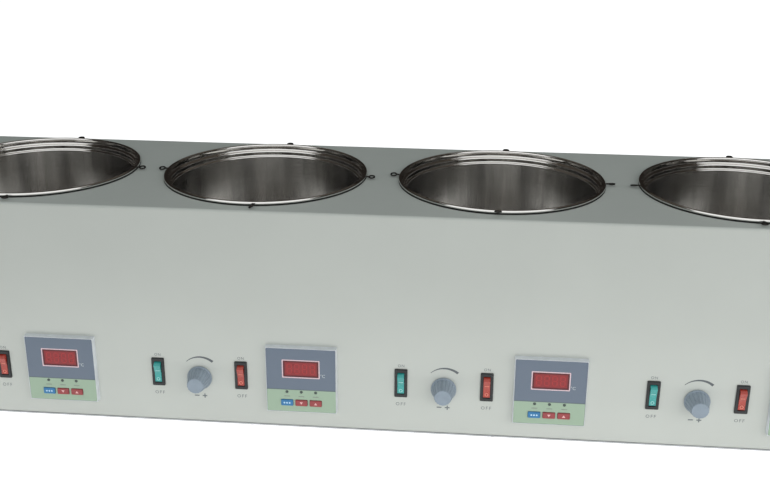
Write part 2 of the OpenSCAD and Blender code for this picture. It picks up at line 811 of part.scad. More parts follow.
// Clips on both sides of each case, which pull the frame against the panel from behind
module controller_clips() {
    arm = 2;
    clip_len = controller_depth / 2;
    color(zinc) on_each_front(controller_x) for (side = [0, 1]) mirror([side, 0, 0])
        translate([case_side / 2 + rest_gap, 0, -sheet])
            rotate([90, 0, 0]) linear_extrude(clip_h, center = true) polygon([
                [0, 0], [clip_w, 0], [clip_w, -arm], [arm, -clip_w], [arm, -clip_len], [0, -clip_len]
            ]);
}

// A key slides in the face plate and is kept in by a ledge behind it
module key(i, k, tint) {
    stem_d = key_h * 0.55;
    ledge_out = 2 * (key_ledge + travel_gap);
    color(tint) on_front(i, controller_x) translate([k * key_pitch, -key_y, plate_back - rest_gap]) {
        plate(key_w, key_h, face_t + rest_gap + key_proud - 0.4, key_round);
        plate(key_w - 0.6, key_h - 0.6, face_t + rest_gap + key_proud, key_round - 0.2);
        translate([0, 0, -ledge_t]) plate(key_w + ledge_out, key_h + ledge_out, ledge_t, key_round);
        translate([0, 0, -ledge_t - 2]) cylinder(d = stem_d, h = ledge_t + 2);
    }
}

// Boards with a terminal strip, a capacitor and a finned heat sink
module speed_boards() {
    board_t = 1.6;
    strip_d = 8;
    strip_h = 12;
    capacitor_d = 12;
    capacitor_h = 22;
    sink_x = board_w * 0.12;
    sink_d = board_d * 0.5;
    sink_h = 24;
    sink_back = 6;
    fin_len = 16;
    fin_t = 2;
    fin_count = 5;
    color(board_green) each_station() translate([0, board_y, case_z + pillar_h]) {
        translate([0, 0, board_t / 2]) cube([board_w, board_d, board_t], center = true);
        translate([-board_w * 0.3, -board_d * 0.3, 0]) cube([board_w * 0.4, strip_d, strip_h]);
        translate([-board_w * 0.25, board_d * 0.15, 0]) cylinder(d = capacitor_d, h = capacitor_h);
        translate([sink_x, -sink_d / 2, 0]) {
            cube([sink_back, sink_d, sink_h]);
            for (k = [0:fin_count - 1])
                translate([0, k * (sink_d - fin_t) / (fin_count - 1), 0]) cube([fin_len, fin_t, sink_h]);
        }
    }
}

module board_pillars() {
    color(brass) for (place = pillar_places)
        translate([place[0], place[1], case_z]) cylinder(d = pillar_d, h = pillar_h);
}

// Panel inlet with a three-pin socket above a fuse drawer
module power_inlet() {
    pin_len = socket_depth - pin_short;
    drawer_w = socket_w * 0.8;
    drawer_h = 8;
    drawer_y = -inlet_h / 2 + drawer_h / 2 + 4;
    corner = 5;
    floor_at = inlet_t - socket_depth;
    color(plastic_black) on_back(inlet_x, control_z) {
        difference() {
            union() {
                plate(inlet_w, inlet_h, inlet_t, 2);
                translate([0, 0, -inlet_depth]) plate(inlet_body_w, inlet_body_h, inlet_depth + cut, 1);
            }
            translate([0, socket_y, floor_at]) linear_extrude(socket_depth + cut) polygon([
                [-socket_w / 2, -socket_h / 2], [socket_w / 2, -socket_h / 2],
                [socket_w / 2, socket_h / 2 - corner], [socket_w / 2 - corner, socket_h / 2],
                [corner - socket_w / 2, socket_h / 2], [-socket_w / 2, socket_h / 2 - corner]
            ]);
            translate([0, drawer_y, inlet_t - 0.6]) difference() {
                plate(drawer_w + 0.8, drawer_h + 0.8, cut, 0.6);
                plate(drawer_w, drawer_h, cut, 0.5);
            }
            translate([0, drawer_y + drawer_h / 2, inlet_t - 1]) plate(6, 2.4, cut + 1, 0.6);
        }
        for (place = [[-7, -2], [7, -2], [0, 2]])
            translate([place[0], socket_y + place[1], floor_at + pin_len / 2 - cut / 2])
                cube([pin_t, pin_w, pin_len + cut], center = true);
    }
}

wrap_panel();
end_panel(-1);  // end_panel_left
end_panel(1);  // end_panel_right
base_plate();
rubber_feet();
foot_screws();
case_screws();
bath_bowl(0);  // bath_bowl_1
bath_bowl(1);  // bath_bowl_2
bath_bowl(2);  // bath_bowl_3
bath_bowl(3);  // bath_bowl_4
rim_seals();
rim_eyes();
heating_mats();
temperature_sensors();
motor_brackets();
stirrer_motors();
magnet_rotor(0);  // magnet_rotor_1
magnet_rotor(1);  // magnet_rotor_2
magnet_rotor(2);  // magnet_rotor_3
magnet_rotor(3);  // magnet_rotor_4
switch_bodies();
rocker(0, stir_switch_x, switch_green);  // stir_rocker_1
rocker(1, stir_switch_x, switch_green);  // stir_rocker_2
rocker(2, stir_switch_x, switch_green);  // stir_rocker_3
rocker(3, stir_switch_x, switch_green);  // stir_rocker_4
rocker(0, heat_switch_x, switch_red);  // heat_rocker_1
rocker(1, heat_switch_x, switch_red);  // heat_rocker_2
rocker(2, heat_switch_x, switch_red);  // heat_rocker_3
rocker(3, heat_switch_x, switch_red);  // heat_rocker_4
speed_controls();
control_nuts();
control_shaft(0);  // control_shaft_1
control_shaft(1);  // control_shaft_2
control_shaft(2);  // control_shaft_3
control_shaft(3);  // control_shaft_4
speed_knob(0);  // speed_knob_1
speed_knob(1);  // speed_knob_2
speed_knob(2);  // speed_knob_3
speed_knob(3);  // speed_knob_4
controller_cases();
controller_faces();
display_windows();
indicator_lamps();
controller_clips();
key(0, -1, key_blue);  // set_key_1
key(1, -1, key_blue);  // set_key_2
key(2, -1, key_blue);  // set_key_3
key(3, -1, key_blue);  // set_key_4
key(0, 0, key_red);  // down_key_1
key(1, 0, key_red);  // down_key_2
key(2, 0, key_red);  // down_key_3
key(3, 0, key_red);  // down_key_4
key(0, 1, key_red);  // up_key_1
key(1, 1, key_red);  // up_key_2
key(2, 1, key_red);  // up_key_3
key(3, 1, key_red);  // up_key_4
speed_boards();
board_pillars();
power_inlet();
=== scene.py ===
"""Looks of the water bath magnetic stirrer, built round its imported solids.

Metres, in the part's own frame: +Z up, +X to the right along the front, and the front panel faces -Y.
"""
import json
import math

import bmesh
import bpy
from mathutils import Matrix, Vector


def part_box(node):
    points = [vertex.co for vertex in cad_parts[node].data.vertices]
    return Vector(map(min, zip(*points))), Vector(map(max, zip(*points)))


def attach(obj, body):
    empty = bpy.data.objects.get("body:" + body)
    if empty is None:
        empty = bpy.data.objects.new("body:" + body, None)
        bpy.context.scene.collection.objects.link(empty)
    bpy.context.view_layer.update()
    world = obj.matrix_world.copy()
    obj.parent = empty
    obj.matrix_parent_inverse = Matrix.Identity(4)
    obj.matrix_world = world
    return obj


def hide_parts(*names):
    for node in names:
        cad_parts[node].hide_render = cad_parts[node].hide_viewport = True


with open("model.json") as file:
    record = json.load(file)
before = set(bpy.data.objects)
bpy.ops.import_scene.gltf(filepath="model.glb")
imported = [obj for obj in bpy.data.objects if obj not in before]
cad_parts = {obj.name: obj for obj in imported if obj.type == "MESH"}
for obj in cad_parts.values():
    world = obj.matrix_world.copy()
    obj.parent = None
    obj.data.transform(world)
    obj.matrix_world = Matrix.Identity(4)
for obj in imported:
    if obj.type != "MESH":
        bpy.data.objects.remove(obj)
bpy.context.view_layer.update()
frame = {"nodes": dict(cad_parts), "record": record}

MM = 0.001
CASE = "case"
STATIONS = 4

# Camera that took the photograph, in metres and degrees
IMAGE_WIDTH = 770
FOCAL_PIXELS = 1097.4
SENSOR_WIDTH = 36.0
CAMERA_PLACE = Vector((0.1065, -1.1213, 0.6001))
CAMERA_PITCH = 20.385
CAMERA_YAW = 5.243
CAMERA_ROLL = 0.302

# Printing stands this far out of the surface that carries it, and starts this far inside
INK = 0.06 * MM
SUNK = 0.03 * MM

# Section of a bath: its sheet, the rolled bead, the two steps of the collar and the corner at the floor
BOWL_SHEET = 0.8 * MM
BEAD_RADIUS = 1.8 * MM
BEAD_TUCK = 0.3 * MM
COLLAR_HEIGHTS = (5.5 * MM, 3.0 * MM)
STEP_RADII = (1.6 * MM, 1.2 * MM)
CORNER_RADIUS = 14.0 * MM
COLLAR_DEPTH = sum(COLLAR_HEIGHTS) + 2 * sum(STEP_RADII)

# Fineness of a bath's mesh, and the angle in degrees above which an edge of it stays sharp
BOWL_SEGMENTS = 224
BEAD_STEPS = 28
INNER_STEPS = 10
OUTER_STEPS = 4
SHARP_ANGLE = 35

# Printed arc over a speed knob, with its centre below the line of the controls
ARC_DROP = 2.2 * MM
ARC_RADIUS = 20.0 * MM
ARC_HALF_SPAN = 42.0
ARC_THIN = 0.55 * MM
ARC_THICK = 2.8 * MM
ARC_STEPS = 28

# Letters and signs on the panel
ON_HEIGHT = 2.9 * MM
ON_ABOVE = 3.4 * MM
ON_SPACING = 1.2
OFF_HEIGHT = 3.6 * MM
OFF_BELOW = 8.9 * MM
OFF_SPACING = 1.3
SIGN_ARM = 2.5 * MM
SIGN_LINE = 1.3 * MM
SIGN_APART = 4.2 * MM
SIGN_BELOW = 26.2 * MM

# Share of the font's size that a capital stands tall, and the fineness of its curves
CAPITAL_SHARE = 0.7
LETTER_STEPS = 3

# Face of a temperature controller, from the middle of its front
OVERLAY_SPLIT = -10.5 * MM
DIGIT_COUNT = 4
DIGIT_HEIGHT = 11.5 * MM
DIGIT_WIDTH = 5.6 * MM
DIGIT_PITCH = 8.0 * MM
DIGIT_LINE = 1.1 * MM
DIGIT_GAP_SHARE = 0.15
UNIT_PLACE = (22.6 * MM, 6.1 * MM)
UNIT_HEIGHT = 3.4 * MM
CAPTION_WIDTH = 6.0 * MM
CAPTION_LINE = 1.0 * MM
CAPTION_DROP = 5.0 * MM

# Dark border inside a display window's edge and pale line outside it, each with its outer and inner corner
WINDOW_LEDGE = 1.5 * MM
WINDOW_BORDER = 1.6 * MM
BORDER_CORNERS = (0.5 * MM, 0.3 * MM)
WINDOW_GAP = 0.25 * MM
WINDOW_LINE = 1.1 * MM
LINE_CORNERS = (0.8 * MM, 0.6 * MM)

# Signs on the keys: the width of an arrow, and shares of it
KEY_MARK = 3.4 * MM
ARROW_HEIGHT_SHARE = 0.8
DOT_RADIUS_SHARE = 0.28
DOT_PITCH_SHARE = 0.8

# Rocker switches
ROCKER_SLOPE = 10.0
PIVOT_DEPTH = 2.4 * MM
CREASE_RISE = 4.8 * MM / math.cos(math.radians(ROCKER_SLOPE))
BAR_ALONG = 3.2 * MM
BAR_WIDTH = 4.4 * MM
BAR_LINE = 1.1 * MM
RING_ALONG = 7.0 * MM
RING_SIZE = 3.8 * MM
RING_LINE = 0.75 * MM

# Stage: the world's own light, the glow and grey of the floor, and what the fill lights share
AMBIENT = 0.27
WORLD_WHITE = 1.0
FLOOR_GLOW = 0.83
FLOOR_GREY = (0.8, 0.8, 0.8, 1.0)
FLOOR_SIZE = 60.0
WHITE_LIGHT = (1.0, 1.0, 1.0)
COOL_LIGHT = (0.86, 0.96, 1.0)
FILL_AWAY = 2.2
FILL_LEVEL = 0.12
FILL_HEIGHT = 0.2

# Sockets of a mix node that hold colours
MIX_UNDER = 6
MIX_OVER = 7
MIX_RESULT = 2

# Values of a noise texture at which a varied colour is at its darkest and lightest
DARK_STOP = 0.32
LIGHT_STOP = 0.68


def srgb(red, green, blue):
    """A colour given as 8-bit screen values, in linear light."""

    def linear(value):
        value = value / 255
        if value <= 0.04045:
            return value / 12.92
        return ((value + 0.055) / 1.055) ** 2.4

    return (linear(red), linear(green), linear(blue), 1.0)


def shaded(colour, factor):
    """The same colour, lighter or darker."""
    return tuple(min(1.0, part * factor) for part in colour[:3]) + (1.0,)


# Places on the part, read from the frame


def middle(node):
    low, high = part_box(node)
    return (low + high) / 2


def along_front(name):
    """X of the middle of each station's node of this name."""
    return [middle(f"{name}_{n}").x for n in range(1, STATIONS + 1)]


def reach_out(node):
    """How far a node stands out of the front panel."""
    return PANEL_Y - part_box(node)[0].y


PANEL_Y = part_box("wrap_panel")[0].y
CONTROL_Z = middle("controller_faces").z
KNOB_X = along_front("speed_knob")
STIR_X = along_front("stir_rocker")
HEAT_X = along_front("heat_rocker")
CONTROLLER_X = along_front("down_key")
KEY_PITCH = middle("up_key_1").x - middle("down_key_1").x
KEY_DROP = middle("down_key_1").z - CONTROL_Z
LAMP_DROP = middle("indicator_lamps").z - CONTROL_Z
WINDOW_RISE = middle("display_windows").z - CONTROL_Z
FACE_OUT = reach_out("controller_faces")
WINDOW_OUT = reach_out("display_windows")
KEY_OUT = reach_out("down_key_1")
BEZEL_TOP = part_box("switch_bodies")[1].z - CONTROL_Z
WINDOW_HALF = (
    (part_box("display_windows")[1].x - CONTROLLER_X[-1]) - WINDOW_LEDGE,
    (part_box("display_windows")[1].z - CONTROL_Z - WINDOW_RISE) - WINDOW_LEDGE,
)


def on_panel(x, rise=0.0, out=0.0):
    """A frame on the front panel: its X runs right, its Y runs up and its Z points out of the panel."""
    return Matrix.Translation((x, PANEL_Y - out, CONTROL_Z + rise)) @ Matrix.Rotation(math.pi / 2, 4, "X")


# Material helpers


def new_material(name, base, roughness, metallic=0.0, **sockets):
    """A Principled material with its constant values set on the shader's own sockets."""
    material = bpy.data.materials.new(name)
    material.use_nodes = True
    shader = shader_of(material)
    shader.inputs["Base Color"].default_value = base
    shader.inputs["Roughness"].default_value = roughness
    shader.inputs["Metallic"].default_value = metallic
    for socket, value in sockets.items():
        shader.inputs[socket.replace("_", " ")].default_value = value
    return material


def shader_of(material):
    return material.node_tree.nodes["Principled BSDF"]


def add_node(material, kind, inputs=None, **settings):
    node = material.node_tree.nodes.new(kind)
    for setting, value in settings.items():
        setattr(node, setting, value)
    for socket, value in (inputs or {}).items():
        node.inputs[socket].default_value = value
    return node


def join(material, output, socket):
    material.node_tree.links.new(output, socket)


def join_shader(material, output, socket):
    join(material, output, shader_of(material).inputs[socket])


def object_place(material):
    return add_node(material, "ShaderNodeTexCoord").outputs["Object"]


def object_height(material):
    split = add_node(material, "ShaderNodeSeparateXYZ")
    join(material, object_place(material), split.inputs["Vector"])
    return split.outputs["Z"]


def stretched(material, scale):
    """Object coordinates stretched by a scale along each axis."""
    mapping = add_node(material, "ShaderNodeMapping", {"Scale": scale})
    join(material, object_place(material), mapping.inputs["Vector"])
    return mapping.outputs["Vector"]


def noise(material, scale, detail=3.0, place=None):
    texture = add_node(material, "ShaderNodeTexNoise", {"Scale": scale, "Detail": detail})
    join(material, place or object_place(material), texture.inputs["Vector"])
    return texture.outputs["Fac"]


def remap(material, value, low, high, from_low=0.3, from_high=0.7):
    """Maps a range of values to another. The first one is by default where most of a noise lies."""
    node = add_node(
        material,
        "ShaderNodeMapRange",
        {"From Min": from_low, "From Max": from_high, "To Min": low, "To Max": high},
    )
    join(material, value, node.inputs["Value"])
    return node.outputs["Result"]


def multiply(material, value, factor):
    node = add_node(material, "ShaderNodeMath", operation="MULTIPLY")
    join(material, value, node.inputs[0])
    join(material, factor, node.inputs[1])
    return node.outputs["Value"]


def ramp(material, value, stops):
    """A colour ramp with (place, colour) stops."""
    node = add_node(material, "ShaderNodeValToRGB")
    elements = node.color_ramp.elements
    while len(elements) < len(stops):
        elements.new(1.0)
    for element, (place, colour) in zip(elements, stops):
        element.position = place
        element.color = colour
    join(material, value, node.inputs["Fac"])
    return node.outputs["Color"]


def cover(material, amount, under, colour):
    """Covers a node's colour with a plain one, as far as the amount says."""
    node = add_node(material, "ShaderNodeMix", {MIX_OVER: colour}, data_type="RGBA")
    join(material, amount, node.inputs["Factor"])
    join(material, under, node.inputs[MIX_UNDER])
    return node.outputs[MIX_RESULT]


def vary_colour(material, colour, darker, lighter, scale, detail=3.0, place=None):
    """Mottles the base colour, from a darker to a lighter share of it."""
    stops = [(DARK_STOP, shaded(colour, darker)), (LIGHT_STOP, shaded(colour, lighter))]
    value = noise(material, scale, detail, place)
    join_shader(material, ramp(material, value, stops), "Base Color")


def vary_roughness(material, low, high, scale, place=None):
    value = noise(material, scale, detail=4.0, place=place)
    join_shader(material, remap(material, value, low, high), "Roughness")


def add_bump(material, height, strength, distance):
    bump = add_node(material, "ShaderNodeBump", {"Strength": strength, "Distance": distance})
    join(material, height, bump.inputs["Height"])
    join_shader(material, bump.outputs["Normal"], "Normal")


def add_grain(material, scale, strength, distance):
    add_bump(material, noise(material, scale, detail=2.0), strength, distance)


# Materials


def case_paint():
    """Baked paint: an even light grey with a faint orange peel."""
    colour = srgb(203, 206, 200)
    material = new_material("case_paint", colour, roughness=0.42, Specular_IOR_Level=0.35)
    vary_colour(material, colour, darker=0.985, lighter=1.015, scale=9.0, detail=5.0)
    vary_roughness(material, low=0.38, high=0.48, scale=60.0)
    add_grain(material, scale=700.0, strength=0.08, distance=0.15 * MM)
    return material


def sheet_metal(name, colour, roughness, streak):
    """Plated or drawn metal with fine streaks, which run along the axes that the streak stretches least."""
    material = new_material(name, colour, roughness, metallic=1.0)
    place = stretched(material, streak)
    vary_colour(material, colour, darker=0.86, lighter=1.1, scale=40.0, detail=6.0, place=place)
    vary_roughness(material, low=roughness * 0.75, high=roughness * 1.3, scale=55.0, place=place)
    add_bump(material, noise(material, scale=160.0, place=place), strength=0.1, distance=0.1 * MM)
    return material


def spun_rings(material, height):
    """Noise that changes with the distance from the axis and the height, and not round the axis."""
    level_only = (1.0, 1.0, 0.0)
    level = add_node(material, "ShaderNodeVectorMath", {1: level_only}, operation="MULTIPLY")
    join(material, object_place(material), level.inputs[0])
    radius = add_node(material, "ShaderNodeVectorMath", operation="LENGTH")
    join(material, level.outputs["Vector"], radius.inputs[0])
    along = add_node(material, "ShaderNodeCombineXYZ")
    join(material, radius.outputs["Value"], along.inputs["X"])
    join(material, height, along.inputs["Y"])
    return noise(material, scale=420.0, detail=4.0, place=along.outputs["Vector"])


def spun_steel():
    """Stainless with the rings that spinning leaves: polished rim and collar, and a brushed wall whose base
    colour carries painted reflection streaks, darker than the painted lighter collar and floor.
    """
    low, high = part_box("bath_bowl_1")
    wall_top = high.z - COLLAR_DEPTH
    fade = 1.5 * MM
    black = srgb(0, 0, 0)
    white = srgb(255, 255, 255)
    colour = srgb(224, 223, 220)
    brushed = {"Anisotropic": 0.8, "Anisotropic_Rotation": 0.25}
    material = new_material("stainless", colour, roughness=0.2, metallic=1.0, **brushed)
    height = object_height(material)
    rings = spun_rings(material, height)

    def share(z):
        return (z - low.z) / (high.z - low.z)

    # Painted reflection: darker streaks in the wall's base colour stand for the streaky reflections of
    # brushed steel
    painted_streak_noise = noise(material, scale=1.0, detail=5.0, place=stretched(material, (70.0, 70.0, 6.0)))
    streaks = ramp(material, painted_streak_noise, [(0.3, shaded(colour, 0.64)), (0.62, colour)])
    # Mask of a painted lighter base colour: it covers the floor and the collar, and leaves the wall's
    # painted streaks between them
    painted_light_stops = [
        (0.0, white),
        (share(low.z + CORNER_RADIUS), black),
        (share(wall_top - fade), black),
        (share(wall_top + fade), white),
    ]
    risen = remap(material, height, low=0.0, high=1.0, from_low=low.z, from_high=high.z)
    painted_light_share = ramp(material, risen, painted_light_stops)
    join_shader(material, cover(material, painted_light_share, streaks, shaded(colour, 1.1)), "Base Color")

    polish = remap(
        material, height, low=0.19, high=0.06, from_low=wall_top - fade, from_high=wall_top + fade
    )
    uneven = remap(material, rings, low=0.92, high=1.08)
    join_shader(material, multiply(material, polish, uneven), "Roughness")
    add_bump(material, rings, strength=0.012, distance=0.03 * MM)
    around = add_node(material, "ShaderNodeTangent", direction_type="RADIAL", axis="Z")
    join_shader(material, around.outputs["Tangent"], "Tangent")
    return material


def plastic(name, colour, roughness, grain=0.12, coat=0.0):
    """Moulded plastic with a fine spark-eroded grain."""
    material = new_material(name, colour, roughness, Coat_Weight=coat, Coat_Roughness=0.12)
    vary_colour(material, colour, darker=0.94, lighter=1.06, scale=120.0, detail=4.0)
    vary_roughness(material, low=roughness * 0.88, high=roughness * 1.12, scale=180.0)
    add_grain(material, scale=2600.0, strength=grain, distance=0.06 * MM)
    return material


def rubber(name, colour):
    material = new_material(name, colour, roughness=0.78, Specular_IOR_Level=0.3)
    vary_colour(material, colour, darker=0.75, lighter=1.35, scale=220.0, detail=5.0)
    add_grain(material, scale=1500.0, strength=0.25, distance=0.1 * MM)
    return material


def controller_overlay():
    """Printed film: slate above and pale green below, with a darker line where they meet."""
    slate = srgb(109, 120, 135)
    line = srgb(88, 100, 104)
    pale_green = srgb(164, 185, 163)
    edge = 0.35 * MM
    span = 40.0 * MM
    step = edge / span
    split = CONTROL_Z + OVERLAY_SPLIT
    material = new_material("face_overlay", slate, roughness=0.4, Specular_IOR_Level=0.4)
    height = object_height(material)
    risen = remap(material, height, low=0.0, high=1.0, from_low=split - span, from_high=split + span)
    stops = [(0.5 - step, pale_green), (0.5 - step / 2, line), (0.5, line), (0.5 + step / 2, slate)]
    join_shader(material, ramp(material, risen, stops), "Base Color")
    vary_roughness(material, low=0.34, high=0.46, scale=90.0)
    add_grain(material, scale=3000.0, strength=0.06, distance=0.04 * MM)
    return material


def ink(name, colour):
    material = new_material(name, colour, roughness=0.6)
    vary_colour(material, colour, darker=0.9, lighter=1.12, scale=900.0)
    return material


def circuit_board():
    """Green board with copper tracks under its varnish, and dark moulded components standing on it."""
    green = srgb(34, 104, 70)
    track = srgb(58, 134, 88)
    component = srgb(44, 46, 50)
    board_sheet = 2.0 * MM
    edge = 0.1 * MM
    board_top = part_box("speed_boards")[0].z + board_sheet
    material = new_material("board_green", green, roughness=0.4)
    height = object_height(material)
    above = remap(material, height, low=0.0, high=1.0, from_low=board_top, from_high=board_top + edge)
    tracks = ramp(material, noise(material, scale=260.0, detail=1.0), [(0.48, green), (0.52, track)])
    join_shader(material, cover(material, above, tracks, component), "Base Color")
    vary_roughness(material, low=0.32, high=0.5, scale=200.0)
    return material


# How the streaks of a metal are stretched
ALONG_CASE = (1.0, 14.0, 14.0)
ROUND_AXIS = (1.0, 1.0, 12.0)
EVEN = (1.0, 1.0, 1.0)

SLOT_MATERIALS = {
    "case_paint": case_paint(),
    "zinc_sheet": sheet_metal("zinc_sheet", srgb(176, 178, 180), roughness=0.42, streak=ALONG_CASE),
    "zinc_steel": sheet_metal("zinc_steel", srgb(190, 191, 193), roughness=0.32, streak=EVEN),
    "rubber": rubber("rubber", srgb(38, 38, 38)),
    "stainless": spun_steel(),
    "dark_wire": sheet_metal("dark_wire", srgb(62, 60, 58), roughness=0.4, streak=EVEN),
    "silicone": rubber("silicone", srgb(166, 70, 48)),
    "sensor_metal": sheet_metal("sensor_metal", srgb(186, 187, 190), roughness=0.35, streak=EVEN),
    "motor_can": sheet_metal("motor_can", srgb(150, 150, 154), roughness=0.35, streak=ROUND_AXIS),
    "rotor_metal": sheet_metal("rotor_metal", srgb(190, 191, 194), roughness=0.3, streak=ROUND_AXIS),
    "black_plastic": plastic("black_plastic", srgb(24, 26, 28), roughness=0.42),
    "green_rocker": plastic("green_rocker", srgb(46, 160, 155), roughness=0.28, grain=0.03, coat=0.5),
    "red_rocker": plastic("red_rocker", srgb(172, 54, 38), roughness=0.28, grain=0.03, coat=0.5),
    "brass": sheet_metal("brass", srgb(196, 170, 104), roughness=0.3, streak=EVEN),
    "knob_grey": plastic("knob_grey", srgb(142, 154, 166), roughness=0.45),
    "controller_grey": plastic("controller_grey", srgb(218, 222, 226), roughness=0.45),
    "face_overlay": controller_overlay(),
    "red_window": plastic("red_window", srgb(138, 37, 40), roughness=0.3, grain=0.02),
    "lamp_dark": plastic("lamp_dark", srgb(56, 70, 64), roughness=0.25, grain=0.02, coat=0.4),
    "key_blue": plastic("key_blue", srgb(58, 122, 172), roughness=0.45),
    "key_red": plastic("key_red", srgb(152, 68, 70), roughness=0.45),
    "board_green": circuit_board(),
}
DARK_INK = ink("dark_ink", srgb(100, 105, 108))
GREY_INK = ink("grey_ink", srgb(116, 122, 124))
WHITE_INK = ink("white_ink", srgb(204, 210, 212))
ROCKER_INKS = {
    "stir": ink("pale_green_ink", srgb(158, 210, 208)),
    "heat": ink("pale_orange_ink", srgb(220, 130, 112)),
}
PINK_INK = ink("pink_ink", srgb(234, 206, 212))
BORDER_INK = ink("border_ink", srgb(92, 34, 40))
DIGIT_INK = ink("digit_ink", srgb(166, 52, 54))
CAPTION_INK = ink("caption_ink", srgb(138, 146, 136))
PALE_BLUE_INK = ink("pale_blue_ink", srgb(190, 220, 238))
PALE_RED_INK = ink("pale_red_ink", srgb(234, 190, 188))


def dress_nodes():
    for part in frame["record"]["subparts"]:
        node = frame["nodes"][part["node"]]
        material = SLOT_MATERIALS[part["material_slot"]]
        if not node.material_slots:
            node.data.materials.append(material)
        for holder in node.material_slots:
            holder.link = "OBJECT"
            holder.material = material


# Pieces of the scene


def mesh_from(build, name):
    """Turns a finished build into a mesh whose faces all point out."""
    bmesh.ops.recalc_face_normals(build, faces=build.faces)
    mesh = bpy.data.meshes.new(name)
    build.to_mesh(mesh)
    build.free()
    return mesh


def add_piece(name, mesh, place, material, body):
    mesh.materials.append(material)
    piece = bpy.data.objects.new(name, mesh)
    bpy.context.scene.collection.objects.link(piece)
    piece.matrix_world = place
    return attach(piece, body)


# Baths


def arc(x, y, radius, start, end, steps):
    """Points along an arc, from one angle to another, in degrees."""
    angles = [math.radians(start + (end - start) * k / steps) for k in range(steps + 1)]
    return [(x + radius * math.cos(angle), y + radius * math.sin(angle)) for angle in angles]


def bowl_section(low, high):
    """Section of a bath's sheet, as radius and height, from the floor's middle round the rim and back."""
    rim = (high.x - low.x) / 2
    floor = low.z + BOWL_SHEET
    neck = rim - 2 * BEAD_RADIUS + BEAD_TUCK
    upper, lower = STEP_RADII
    collar = neck - 2 * upper
    wall = collar - 2 * lower
    upper_step = high.z - COLLAR_HEIGHTS[0] - 2 * upper
    lower_step = upper_step - COLLAR_HEIGHTS[1] - 2 * lower

    def face(away, steps):
        return (
            [(0.0, floor - away)]
            + arc(wall - CORNER_RADIUS, floor + CORNER_RADIUS, CORNER_RADIUS + away, -90, 0, steps)
            + arc(wall + lower, lower_step, lower - away, 180, 90, steps)
            + arc(collar - lower, lower_step + 2 * lower, lower + away, -90, 0, steps)
            + arc(collar + upper, upper_step, upper - away, 180, 90, steps)
            + arc(neck - upper, upper_step + 2 * upper, upper + away, -90, 0, steps)
        )

    bead = rim - BEAD_RADIUS
    inner_end = 360 - math.degrees(math.acos((neck - bead) / BEAD_RADIUS))
    outer_end = -math.degrees(math.acos((neck + BOWL_SHEET - bead) / BEAD_RADIUS))
    rolled = arc(bead, high.z - BEAD_RADIUS, BEAD_RADIUS, inner_end, outer_end, BEAD_STEPS)
    return face(0.0, INNER_STEPS) + rolled + list(reversed(face(BOWL_SHEET, OUTER_STEPS)))


def lathe(section):
    """A closed mesh turned about Z. The section starts and ends on the axis."""
    build = bmesh.new()
    turns = [2 * math.pi * k / BOWL_SEGMENTS for k in range(BOWL_SEGMENTS)]
    rows = []
    for radius, height in section:
        around = turns if radius else [0.0]
        points = [(radius * math.cos(turn), radius * math.sin(turn), height) for turn in around]
        rows.append([build.verts.new(point) for point in points])
    for here, there in zip(rows, rows[1:]):
        for k in range(BOWL_SEGMENTS):
            after = k + 1
            corners = [
                here[k % len(here)],
                here[after % len(here)],
                there[after % len(there)],
                there[k % len(there)],
            ]
            # On the axis two corners are one point, and the face has three
            build.faces.new(list(dict.fromkeys(corners))).smooth = True
    mesh = mesh_from(build, "bath")
    mesh.set_sharp_from_angle(angle=math.radians(SHARP_ANGLE))
    return mesh


def make_bath(n):
    node = f"bath_bowl_{n}"
    low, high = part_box(node)
    place = Matrix.Translation(((low.x + high.x) / 2, (low.y + high.y) / 2, 0))
    steel = SLOT_MATERIALS["stainless"]
    piece = add_piece(f"spun_bath_{n}", lathe(bowl_section(low, high)), place, steel, CASE)
    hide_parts(node)


# Flat printing, drawn in a frame's XY plane


def flat_piece(name, loops, place, material, body):
    """A thin plate over closed outlines. Each loop is a list of (x, y) points."""
    build = bmesh.new()
    for loop in loops:
        bottom = [build.verts.new((x, y, -SUNK)) for x, y in loop]
        top = [build.verts.new((x, y, INK)) for x, y in loop]
        build.faces.new(top)
        build.faces.new(list(reversed(bottom)))
        for k in range(len(loop)):
            after = (k + 1) % len(loop)
            build.faces.new((bottom[k], bottom[after], top[after], top[k]))
    return add_piece(name, mesh_from(build, name), place, material, body)


def flat_ring(name, outer, inner, place, material, body):
    """A thin closed band between two outlines with the same number of points."""
    build = bmesh.new()
    rows = []
    for loop, z in ((outer, -SUNK), (outer, INK), (inner, INK), (inner, -SUNK)):
        rows.append([build.verts.new((x, y, z)) for x, y in loop])
    for here, there in zip(rows, rows[1:] + rows[:1]):
        for k in range(len(outer)):
            after = (k + 1) % len(outer)
            build.faces.new((here[k], here[after], there[after], there[k]))
    return add_piece(name, mesh_from(build, name), place, material, body)


def moved(points, right, up):
    return [(x + right, y + up) for x, y in points]


def rectangle(half_width, half_height):
    return [
        (-half_width, -half_height),
        (half_width, -half_height),
        (half_width, half_height),
        (-half_width, half_height),
    ]


def rounded_rectangle(half_width, half_height, radius, steps=4):
    points = []
    for quarter, (side_x, side_y) in enumerate(((1, 1), (-1, 1), (-1, -1), (1, -1))):
        for k in range(steps + 1):
            angle = math.radians(90 * (quarter + k / steps))
            x = side_x * (half_width - radius) + radius * math.cos(angle)
            y = side_y * (half_height - radius) + radius * math.sin(angle)
            points.append((x, y))
    return points


def circle(radius, steps=32):
    angles = [2 * math.pi * k / steps for k in range(steps)]
    return [(radius * math.cos(angle), radius * math.sin(angle)) for angle in angles]


